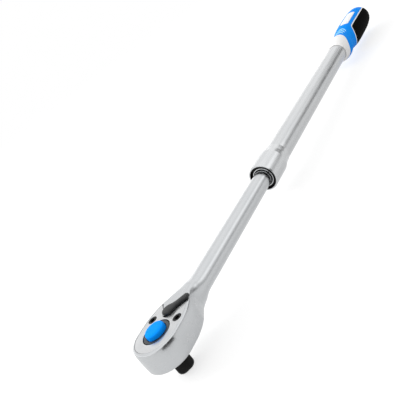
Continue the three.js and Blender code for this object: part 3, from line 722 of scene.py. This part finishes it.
def drive():
    """The square with its rounded nose, the boss, the gear and the bore for the button."""
    levels = [
        (0, 3.9, 3.1), (0.15, 4.6, 3.4), (0.5, 5.2, 3.5), (1.0, 5.6, 3.3), (1.8, 5.97, 2.9), (2.8, 6.22, 2.4),
        (4.0, 6.35, 1.9), (5.5, 6.35, 1.5), (9.0, 6.35, 1.4), (14.2, 6.35, 1.4), (15.5, 6.35, 1.4),
    ]
    rings = [square_ring(half, corner, level) for level, half, corner in levels]
    piece = piece_from("drive_fine", lambda bm: add_loft(bm, rings), "drive_gear", "drive_steel")
    lower = rounded([(0, 14.5), (8.8, 14.5, 0.5), (8.8, 22), (0, 22)], closed=False)
    combine(piece, lambda bm: revolve(bm, lower, upright), "UNION")
    combine(piece, lambda bm: add_plate(bm, gear_outline(), 21.1, 31, upright, 0.3), "UNION")
    upper = rounded([(0, 30), (9.9, 30), (9.9, BOSS_TOP, 0.35), (0, BOSS_TOP)], closed=False)
    combine(piece, lambda bm: revolve(bm, upper, upright), "UNION")
    bore, rim = BUTTON_RADIUS + 0.3, BOSS_TOP + 0.3
    mouth = [(0, 26.9), (bore, 26.9), (bore, BOSS_TOP - 0.3), (bore + 0.6, rim), (0, rim)]
    combine(piece, lambda bm: revolve(bm, mouth, upright))
    combine(piece, rod(4.4, 19.5, 28, segments=48))  # room for the button's spring
    combine(piece, rod(2.4, 2.8, 28, segments=48))  # and for its rod
    turn = BALL_AXIS.to_track_quat("Z", "Y").to_matrix().to_4x4()
    across = Matrix.Translation(BALL_AXIS * 5 + Vector((0, 0, SOCKET_BALL_Z))) @ turn
    ball_bore = [(0, -4), (2.05, -4), (2.05, 1.05), (2.35, 1.5), (2.35, 4), (0, 4)]
    combine(piece, lambda bm: revolve(bm, ball_bore, lambda x, y, z: across @ Vector((x, y, z)), 48))


drive()
bearing_ball("socket_ball")


def button():
    """The push button: a shallow dome with a soft shoulder."""
    top = button_high.z
    profile = rounded(
        [(0, button_low.z), (BUTTON_RADIUS, button_low.z, 0.3), (BUTTON_RADIUS, top - 0.8, 1.3),
         (BUTTON_RADIUS - 2.2, top - 0.22, 3.0), (0, top)],
        closed=False, steps=8,
    )
    piece_from("button_fine", lambda bm: revolve(bm, profile, upright), "release_button", sharp=50)


button()


def coil(node, radius, wire, turns, place):
    """A coil spring, upright or along the bar, that spans its CAD node."""
    axis = Vector((0, 0, 1)) if place is upright else Vector((1, 0, 0))
    start, end = (corner.dot(axis) for corner in limits(node))
    per_turn, sides = 24, 8
    steps = turns * per_turn
    rings = []
    for i in range(steps + 1):
        angle = 2 * math.pi * i / per_turn
        share = i / steps
        eased = share - 0.06 * math.sin(2 * math.pi * share)
        middle = start + wire + (end - start - 2 * wire) * eased
        ring = []
        for r, along in circle(wire, radius, middle, sides):
            ring.append(place(r * math.cos(angle), r * math.sin(angle), along))
        rings.append(ring)
    piece = piece_from(node + "_fine", lambda bm: add_loft(bm, rings), node)
    anchor = place(0, 0, start if axis.z else end) * MM
    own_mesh(piece)


coil("button_spring", 3.4, 0.35, 5, upright)


# ---------------------------------------------------------------- reversing lever
LEVER_TURN = math.radians(-42)
LEVER_WAIST = [(4.5, 3.2), (6.6, 2.65), (9.0, 2.4), (11.3, 2.5)]  # half widths between hub and tip
LEVER_HUB, LEVER_TIP, LEVER_REACH = 4.8, 2.75, 14.2


def lever_outline(inset):
    """The lever's plan in its own frame, along +X from its pivot, moved in by inset."""
    return [
        *arc(LEVER_HUB - inset, np.linspace(58, 302, 40)),
        *((x, inset - y) for x, y in LEVER_WAIST),
        *arc(LEVER_TIP - inset, np.linspace(-78, 78, 16), LEVER_REACH),
        *((x, y - inset) for x, y in reversed(LEVER_WAIST)),
    ]


def lever_place(a, b, c):
    turned = Matrix.Rotation(LEVER_TURN, 2) @ Vector((a, b))
    return Vector((PIVOT_X + turned.x, turned.y, c))


def lever():
    """A flat lever with soft edges, a hex socket under its hub and cross ribs under the thumb."""
    low, high = lever_low.z, lever_high.z
    levels = [
        (low, 0.35), (low + 0.12, 0.12), (low + 0.4, 0), (high - 1.15, 0.0), (high - 0.8, 0.08),
        (high - 0.5, 0.28), (high - 0.28, 0.62), (high - 0.18, 1.1),
    ]
    rings = [[lever_place(a, b, z) for a, b in lever_outline(inset)] for z, inset in levels]
    piece = piece_from("lever_fine", lambda bm: add_loft(bm, rings), "reverse_lever", sharp=50)
    hexagon = circle(1.85, segments=6)
    combine(piece, lambda bm: add_plate(bm, hexagon, low - 1, low + 1.35, lever_place))
    foot, crest = high - 0.5, high - 0.02
    for i in range(5):
        x = 9.4 + 1.35 * i
        rib = rounded([(x, -1.7, 0.22), (x + 0.5, -1.7, 0.22), (x + 0.5, 1.7, 0.22), (x, 1.7, 0.22)])
        combine(piece, lambda bm: add_plate(bm, rib, foot, crest, lever_place, 0.1), "UNION")


lever()


# ---------------------------------------------------------------- tube, collar and lock
def bar_ring(node, profile, look=None):
    """A ring or tube about the bar's axis from a closed profile of (along, radius, fillet)."""
    swapped = [(corner[1], corner[0], *corner[2:]) for corner in profile]
    return piece_from(node + "_fine", lambda bm: revolve(bm, rounded(swapped), along_bar, 128), node, look)


def outer_tube():
    """The tube: a thinner front end with a groove for the snap ring, under the collar."""
    front, rear = tube_low.x, tube_high.x
    nose, step, bore = 9.6, 217.0, 9.3
    inner = STOP_X - 6.2
    profile = [
        (front + 2.9, 8.3), (front + 2.9, 8.75), (front, 8.75, 0.15), (front, nose, 0.3),
        (front + 1, nose, 0.1), (front + 1, 9.25), (front + 2.4, 9.25), (front + 2.4, nose, 0.1),
        (step, nose, 0.2), (step, TUBE_RADIUS, 0.5), (230, TUBE_RADIUS),
        *((x, TUBE_RADIUS) for x in range(260, 501, 40)),
        (rear, TUBE_RADIUS, 0.4), (rear, bore, 0.3), (inner, bore), (inner, 8.3),
    ]
    piece = bar_ring("outer_tube", profile)
    combine(piece, rod(2.3, AXIS_Z - 14, AXIS_Z - 4, LOCK_X))  # the lock ball's hole


outer_tube()


def lock_collar():
    """The collar: a chamfered front edge, a long straight grip and a coned rear shoulder."""
    front, rear = collar_low.x, collar_high.x
    mouth = tube_low.x + 2.65
    lip, land, ramp = mouth + 2.75, 201.5, 198.5
    bore, clear, hollow, step = 9.85, TUBE_RADIUS + 0.2, 11.95, 11.45
    profile = [
        (front, step, 0.2), (front, 12.75, 0.25), (front + 0.8, COLLAR_RADIUS, 0.8),
        (rear - 13.5, COLLAR_RADIUS, 6), (rear - 6.5, 11.9, 4), (rear, 11.5, 0.15),
        (rear, clear, 0.1), (land + 2.5, clear), (land + 2.5, bore), (land, bore),
        (land, 11.2), (ramp - 1, 11.3), (ramp - 7, hollow), (lip, hollow), (lip, bore), (mouth, bore),
        (mouth, step),
    ]
    bar_ring("lock_collar", profile, "collar_chrome")


lock_collar()


def snap_ring():
    """A C-shaped retaining ring, open at the bottom."""
    sweep = np.linspace(-81, 261, 96)
    outline = arc((snap_high.z - snap_low.z) / 2, sweep) + arc(9.32, reversed(sweep))
    piece_from(
        "snap_ring_fine", lambda bm: add_plate(bm, outline, snap_low.x, snap_high.x, along_bar, 0.18),
        "collar_snap_ring",
    )


snap_ring()


def bar_wiper():
    """The rubber wiper, with a lip that leans on the bar."""
    front, rear = wiper_low.x, wiper_high.x
    outer = (wiper_high.z - wiper_low.z) / 2
    profile = [
        (front, 8.12, 0.1), (front, 8.35, 0.1), (front + 0.6, 8.45, 0.2), (front + 0.35, outer, 0.15),
        (rear, outer, 0.1), (rear, 8.12, 0.1),
    ]
    bar_ring("bar_wiper", profile)


bar_wiper()
bearing_ball("lock_ball")
coil("collar_spring", 10.42, 0.5, 4, along_bar)


# ---------------------------------------------------------------- grip
SLEEVE_FRONT = flange_low.x
FRONT = core_low.x
ARCH = flange_high.x - FRONT + 0.2  # how much further back the body of the grip starts on top
END = core_high.x
GRIP = [
    (SLEEVE_FRONT, 12.2), (456, 13.3), (460, 14.5), (464, 15.2), (469, 15.6), (474, 15.3), (481, 14.5),
    (488, 14.25), (495, 14.8), (503, 15.8), (513, 16.5), (528, 16.8), (553, 16.75), (566, 16.4), (574, 15.6),
]
GRIP_TURN = math.radians(-8)  # the grip sits turned about the bar, its label leaning towards -Y
GRIP_BORE = TUBE_RADIUS + 0.15
GRIP_SIZE = 16.5  # the radius at which lengths round the grip are turned into angles
END_BLEND = 574
END_RADIUS = 15.6


def grip_radius(x):
    """The grip's radius: a waist, a swell, and an end rounded as part of an ellipse."""
    if x <= END_BLEND:
        return smooth_steps(GRIP, x)
    share = min((x - END_BLEND) / (END - END_BLEND), 1)
    return END_RADIUS * max(1 - share**2.3, 0) ** 0.5


def around_grip(x, angle, radius):
    """A point of the grip. The angle is measured from -Y towards +Z before the grip's own turn."""
    turned = angle + GRIP_TURN
    return along_bar(-radius * math.cos(turned), radius * math.sin(turned), x)


def surface(x, angle, over):
    return around_grip(x, angle, grip_radius(x) + over)


def arch(angle):
    """Where the body of the grip starts at this angle: level on the sides, further back on top."""
    return FRONT + ARCH * max(math.sin(angle), 0) ** 2


def add_arched_ring(bm, profile):
    """A ring about the bar. Its closed profile of (along, radius) depends on the angle."""
    rows = []
    for angle in np.linspace(0, 2 * math.pi, 160, endpoint=False):
        rows.append([around_grip(x, angle, r) for x, r in profile(angle)])
    add_grid(bm, rows, wrap_rows=True, wrap_columns=True)


def spaced(low, high, count, edge):
    """Numbers from low to high, close together within `edge` of each end."""
    near = [edge * k / 4 for k in range(4)]
    middle = list(np.linspace(low + edge, high - edge, count))
    return [*(low + n for n in near), *middle, *(high - n for n in reversed(near))]


def add_inlay(bm, angles, front, rear, over, under, edge):
    """A shell patch on the grip between two angles, with front(angle) and rear(angle) for its ends.

    Its outer face rises from the edge as a small quarter round of the width `edge`.
    """
    low, high = (angle * GRIP_SIZE for angle in angles)
    around = spaced(low, high, max(int((high - low) / 1.4), 2), edge)
    lengths = [rear(reach / GRIP_SIZE) - front(reach / GRIP_SIZE) for reach in around]
    along = max(int(max(lengths) / 2), 2)
    tops, bases = [], []
    for reach in around:
        angle = reach / GRIP_SIZE
        x0, x1 = front(angle), rear(angle)
        top, base = [], []
        for x in spaced(x0, x1, along, edge):
            gap = min(x - x0, x1 - x, reach - around[0], around[-1] - reach)
            fall = 1 - math.sqrt(max(1 - (1 - min(gap / edge, 1)) ** 2, 0))
            top.append(surface(x, angle, over - edge * fall))
            base.append(surface(x, angle, -under))
        tops.append(top)
        bases.append(base)
    add_shell(bm, tops, bases)


def add_shell(bm, tops, bases):
    """A closed solid between two grids of points of the same size."""
    upper = add_grid(bm, tops)
    lower = add_grid(bm, bases)

    def rim(grid):
        right = [row[-1] for row in grid[1:-1]]
        left = [row[0] for row in grid[1:-1]]
        return [*grid[0], *right, *reversed(grid[-1]), *reversed(left)]

    one, two = rim(upper), rim(lower)
    for i in range(len(one)):
        k = (i + 1) % len(one)
        bm.faces.new((one[i], one[k], two[k], two[i]))


def corner_inset(angle, angles, radius):
    """How far a rounded corner pulls an inlay's end in at this angle."""
    gap = min(angle - angles[0], angles[1] - angle) * GRIP_SIZE
    if gap >= radius:
        return 0
    return radius - math.sqrt(max(radius**2 - (radius - max(gap, 0)) ** 2, 0))


def grown(angles, amount):
    return (angles[0] - amount / GRIP_SIZE, angles[1] + amount / GRIP_SIZE)


PANEL_ANGLES = (math.radians(-58), math.radians(48))
PANEL_MIDDLE_ANGLE = math.radians(-5)  # where the panel's front reaches furthest forward
PANEL_FRONT, PANEL_REAR = 497, 583
PANEL_BOW = 9.5
PANEL_CORNER = 1.6
BORDER = 1.6
GAP = 0.15
INLAY_DEPTH = 1.5


def panel_shape(grow, mirrored):
    """The black panel's angles and ends, grown all round. Its front edge bows forward at mid height."""
    angles = grown(PANEL_ANGLES, grow)
    corner = PANEL_CORNER + grow

    def natural(angle):
        return math.pi - angle if mirrored else angle

    def front(angle):
        angle = natural(angle)
        bow = (angle - PANEL_MIDDLE_ANGLE) / (PANEL_ANGLES[1] - PANEL_MIDDLE_ANGLE)
        return PANEL_FRONT + PANEL_BOW * min(bow**2, 1.2) - grow + corner_inset(angle, angles, corner)

    def rear(angle):
        return PANEL_REAR + grow - corner_inset(natural(angle), angles, corner + 1.5)

    ends = sorted(natural(angle) for angle in angles)
    return ends, front, rear


LABEL_ANGLES = (math.radians(71), math.radians(109))
LABEL_FRONT, LABEL_REAR = 511.5, 556
LABEL_CORNER = 3


def label_shape(grow):
    angles = grown(LABEL_ANGLES, grow)
    corner = LABEL_CORNER + grow

    def front(angle):
        return LABEL_FRONT - grow + corner_inset(angle, angles, corner)

    def rear(angle):
        return LABEL_REAR + grow - corner_inset(angle, angles, corner)

    return angles, front, rear


CHEVRONS = [(498, 7.3), (493, 6.2), (488, 5.1)]  # where each one's point is, and half its width
CHEVRON_BAND = 1.7


def chevron_shape(apex, half_width, grow):
    """An arc-shaped stripe across the top of the grip, its point towards the end of the grip."""
    half_angle = math.asin((half_width + grow) / grip_radius(apex))
    angles = (math.pi / 2 - half_angle, math.pi / 2 + half_angle)
    reach = CHEVRON_BAND / 2 + grow

    def middle(angle):
        return apex - 1.8 * ARCH * math.cos(angle) ** 2

    return angles, lambda angle: middle(angle) - reach, lambda angle: middle(angle) + reach


def inlay(name, shape, over, under, edge, node):
    return piece_from(name, lambda bm: add_inlay(bm, *shape, over, under, edge), node, sharp=50)


def recess(piece, shape, depth):
    """Cuts room for an inlay, that deep below the grip's surface."""
    combine(piece, lambda bm: add_inlay(bm, *shape, 3, depth, 0.01))


def grip_core():
    """The blue body of the grip, open at the front for the tube, with room for its inlays."""

    def ahead(angle):
        return [(FRONT - 2, 8), (FRONT - 2, 20), (arch(angle), 20), (arch(angle), 8)]

    profile = [(0, FRONT), (grip_radius(FRONT) - 0.35, FRONT), (grip_radius(FRONT), FRONT + 0.35)]
    profile += [(grip_radius(x), x) for x in np.arange(FRONT + 1.5, END_BLEND, 1.5)]
    for share in np.linspace(0, 1, 18):
        x = END_BLEND + (END - END_BLEND) * math.sin(share * math.pi / 2)
        profile.append((grip_radius(x) if share < 1 else 0, x))
    piece = piece_from("grip_core_fine", lambda bm: revolve(bm, profile, along_bar, 160), "grip_core")
    combine(piece, lambda bm: add_arched_ring(bm, ahead))
    combine(piece, rod(GRIP_BORE, FRONT - 1, tube_high.x + 1, place=along_bar, segments=96))
    for mirrored in (False, True):
        recess(piece, panel_shape(BORDER + GAP, mirrored), INLAY_DEPTH + GAP)
    recess(piece, label_shape(0.3), 1)
    for apex, half_width in CHEVRONS:
        recess(piece, chevron_shape(apex, half_width, 0.12), 0.7)


grip_core()
for side, mirrored in (("right", False), ("left", True)):
    panel = panel_shape(0, mirrored)
    inlay("grip_panel_fine_" + side, panel, 0.15, INLAY_DEPTH, 0.5, "grip_panel_" + side)
    rim = panel_shape(BORDER, mirrored)
    border = inlay("panel_border_fine_" + side, rim, 0.08, INLAY_DEPTH, 0.25, "panel_border_" + side)
    recess(border, panel_shape(GAP, mirrored), INLAY_DEPTH + 1)
inlay("grip_label_fine", label_shape(0), 0.1, 0.8, 0.35, "grip_label")
for i, (apex, half_width) in enumerate(CHEVRONS, 1):
    stripe = chevron_shape(apex, half_width, 0)
    inlay(f"grip_chevron_fine_{i}", stripe, 0.1, 0.6, 0.2, f"grip_chevron_{i}")


def grip_flange():
    """The pale sleeve that tapers from the grip down to the tube, with a bead round its rear edge."""
    front, groove, bead, lift = SLEEVE_FRONT, 0.25, 1.3, 0.12

    def profile(angle):
        rear = arch(angle) - 0.2
        before = rear - bead
        points = [(front, GRIP_BORE), (front, 11.9), (front + 0.15, 12.1)]
        points += [(x, grip_radius(x)) for x in np.linspace(front + 0.6, before - groove - 0.2, 24)]
        points += [(before - groove, grip_radius(before) - 0.25), (before, grip_radius(before) - 0.2)]
        for share in np.linspace(0, 1, 6):
            swell = lift * math.sin(math.pi * share)
            points.append((rear - bead * (1 - share) * 0.85, grip_radius(before) + swell))
        points += [(rear, grip_radius(rear) - 0.15), (rear, GRIP_BORE)]
        return points

    piece_from("grip_flange_fine", lambda bm: add_arched_ring(bm, profile), "grip_flange", sharp=40)


grip_flange()


# ---------------------------------------------------------------- floor, light and camera, in metres
def add_sheet(name, corners):
    """A flat sheet that isn't part of the object. Returns it with its material's node tree."""
    mesh = bpy.data.meshes.new(name)
    mesh.from_pydata(corners, [], [(0, 1, 2, 3)])
    piece = bpy.data.objects.new(name, mesh)
    bpy.context.scene.collection.objects.link(piece)
    material = bpy.data.materials.new(name)
    material.use_nodes = True
    mesh.materials.append(material)
    return piece, material.node_tree


def mix_shaders(tree, factor, one, two):
    return add_node(tree, "MixShader", {"Fac": factor, 1: one, 2: two}).outputs["Shader"]


FLOOR_SIZE = 6.0
FLOOR_GLOW = 0.6  # share of the floor's brightness that is its own, as on a light table
FLOOR_LIGHT = 1.13
FLOOR_FADE = (0.4, 1.1)  # between these distances the floor turns to its glow alone
DIFFUSE_SHARE = 0.35  # how much of the floor's own light falls on the handle
GLOSSY_SHARE = 0.68  # how much of it the plating mirrors


def floor():
    """A pale floor that fades to plain white far from the object."""
    s = FLOOR_SIZE
    piece, tree = add_sheet("floor", [(-s, -s, 0), (s, -s, 0), (s, s, 0), (-s, s, 0)])
    piece.location = (0.28, 0, -0.0003)
    shader = tree.nodes["Principled BSDF"]
    feed(tree, shader, {"Base Color": grey(0.93), "Roughness": 0.7, "Specular IOR Level": 0.1})
    rays = add_node(tree, "LightPath").outputs
    strength = FLOOR_LIGHT
    for ray, share in (("Is Diffuse Ray", DIFFUSE_SHARE), ("Is Glossy Ray", GLOSSY_SHARE)):
        strength = add_range(tree, rays[ray], 0, 1, strength, FLOOR_LIGHT * share).outputs["Result"]
    glow = add_node(tree, "Emission", {"Strength": strength})
    position = add_node(tree, "TexCoord").outputs["Object"]
    length = add_node(tree, "VectorMath", {0: position}, "LENGTH")
    fade = add_range(tree, length.outputs["Value"], *FLOOR_FADE, FLOOR_GLOW, 1)
    surface = mix_shaders(tree, fade.outputs["Result"], shader.outputs["BSDF"], glow.outputs["Emission"])
    feed(tree, tree.nodes["Material Output"], {"Surface": surface})


floor()

# The studio round the handle: brightness against the angle about the bar, from +Y over the top to -Y.
STUDIO = [
    (0.0, 1.6), (0.07, 1.5), (0.14, 1.05), (0.3, 1.1), (0.44, 1.2), (0.56, 1.18), (0.66, 1.05), (0.74, 1.42),
    (0.8, 1.42), (0.9, 0.74), (1.0, 0.6),
]
FLAG = Vector((0.97, -0.25, 0.05)).normalized()  # where the studio is dim beyond the far end of the handle
FLAG_EDGE = (0.9, 0.98)  # cosines of the angles from the flag's middle where it starts and is full
FLAG_DIM = 0.35
SOFT_BRIGHT, SOFT_DARK = 1.6, 0.7  # what falls on unpolished pieces from the +Y side and the -Y side


def studio_world():
    """The plating mirrors the studio, unpolished pieces see a soft gradient, and the camera sees white."""
    world = bpy.data.worlds.new("studio")
    bpy.context.scene.world = world
    world.use_nodes = True
    tree = world.node_tree
    direction = add_node(tree, "TexCoord").outputs["Generated"]
    axes = add_node(tree, "SeparateXYZ", {"Vector": direction}).outputs
    angle = add_node(tree, "Math", {0: axes["Z"], 1: axes["Y"]}, "ARCTAN2")
    share = add_node(tree, "Math", {0: angle.outputs["Value"], 1: math.pi}, "DIVIDE")
    ramp = add_node(tree, "ValToRGB", {"Fac": share.outputs["Value"]})
    stops = ramp.color_ramp.elements
    for _ in range(len(STUDIO) - 2):
        stops.new(0.5)
    for stop, (place, value) in zip(stops, STUDIO):
        stop.position = place
        stop.color = grey(value)
    ramp.color_ramp.interpolation = "EASE"
    facing = add_node(tree, "VectorMath", {0: direction, 1: FLAG}, "DOT_PRODUCT")
    flag = add_range(tree, facing.outputs["Value"], *FLAG_EDGE, 1.0, FLAG_DIM)
    flag.interpolation_type = "SMOOTHSTEP"
    soft = add_range(tree, axes["Y"], -1.0, 1.0, SOFT_DARK, SOFT_BRIGHT)
    mirrored = tree.nodes["Background"]
    feed(tree, mirrored, {"Color": ramp.outputs["Color"], "Strength": flag.outputs["Result"]})
    softened = add_node(tree, "Background", {"Strength": soft.outputs["Result"]})
    white = add_node(tree, "Background", {"Color": grey(1), "Strength": 1.0})
    rays = add_node(tree, "LightPath").outputs
    lit, soft_lit, plain = (node.outputs["Background"] for node in (mirrored, softened, white))
    unseen = mix_shaders(tree, rays["Is Diffuse Ray"], lit, soft_lit)
    seen = mix_shaders(tree, rays["Is Camera Ray"], unseen, plain)
    feed(tree, tree.nodes["World Output"], {"Surface": seen})


studio_world()


def softbox(name, place, target, size, power):
    light = bpy.data.lights.new(name, "AREA")
    light.shape = "RECTANGLE"
    light.size, light.size_y = size
    light.energy = power
    piece = bpy.data.objects.new(name, light)
    piece.location = place
    piece.rotation_euler = (Vector(target) - Vector(place)).to_track_quat("-Z", "Y").to_euler()
    piece.visible_glossy = False
    bpy.context.scene.collection.objects.link(piece)


softbox("key_light", (-0.25, 0.75, 0.65), (0.2, 0, 0), (0.5, 0.5), 6)
softbox("fill_light", (0.1, -0.5, 0.9), (0.2, 0, 0), (1.0, 0.6), 0.8)


def dark_card():
    """A dark card beside the head. It is seen only in the plating."""
    corners = [(-0.13, -0.1, 0.001), (0.02, -0.16, 0.001), (0.06, -0.5, 0.22), (-0.33, -0.4, 0.28)]
    piece, tree = add_sheet("dark_card", corners)
    feed(tree, tree.nodes["Principled BSDF"], {"Base Color": grey(0.03), "Specular IOR Level": 0.0})
    piece.visible_camera = False
    piece.visible_diffuse = False
    piece.visible_shadow = False


dark_card()

CAMERA_PLACE = Vector((-0.1516, -0.2475, 0.18416))
CAMERA_FORWARD = Vector((0.6765, 0.6605, -0.3256))
CAMERA_ROLL = 36.3  # degrees the camera leans about its line of sight
FOCAL_LENGTH = 45.14  # millimetres on a sensor 36 wide


def camera():
    data = bpy.data.cameras.new("camera")
    data.sensor_width = 36
    data.lens = FOCAL_LENGTH
    data.clip_start = 0.01
    data.clip_end = 50
    piece = bpy.data.objects.new("camera", data)
    piece.rotation_mode = "QUATERNION"
    level = CAMERA_FORWARD.to_track_quat("-Z", "Y")
    piece.rotation_quaternion = level @ Matrix.Rotation(math.radians(-CAMERA_ROLL), 3, "Z").to_quaternion()
    piece.location = CAMERA_PLACE
    bpy.context.scene.collection.objects.link(piece)
    bpy.context.scene.camera = piece


camera()
bpy.context.scene.view_settings.view_transform = "Standard"

bpy.context.view_layer.update()
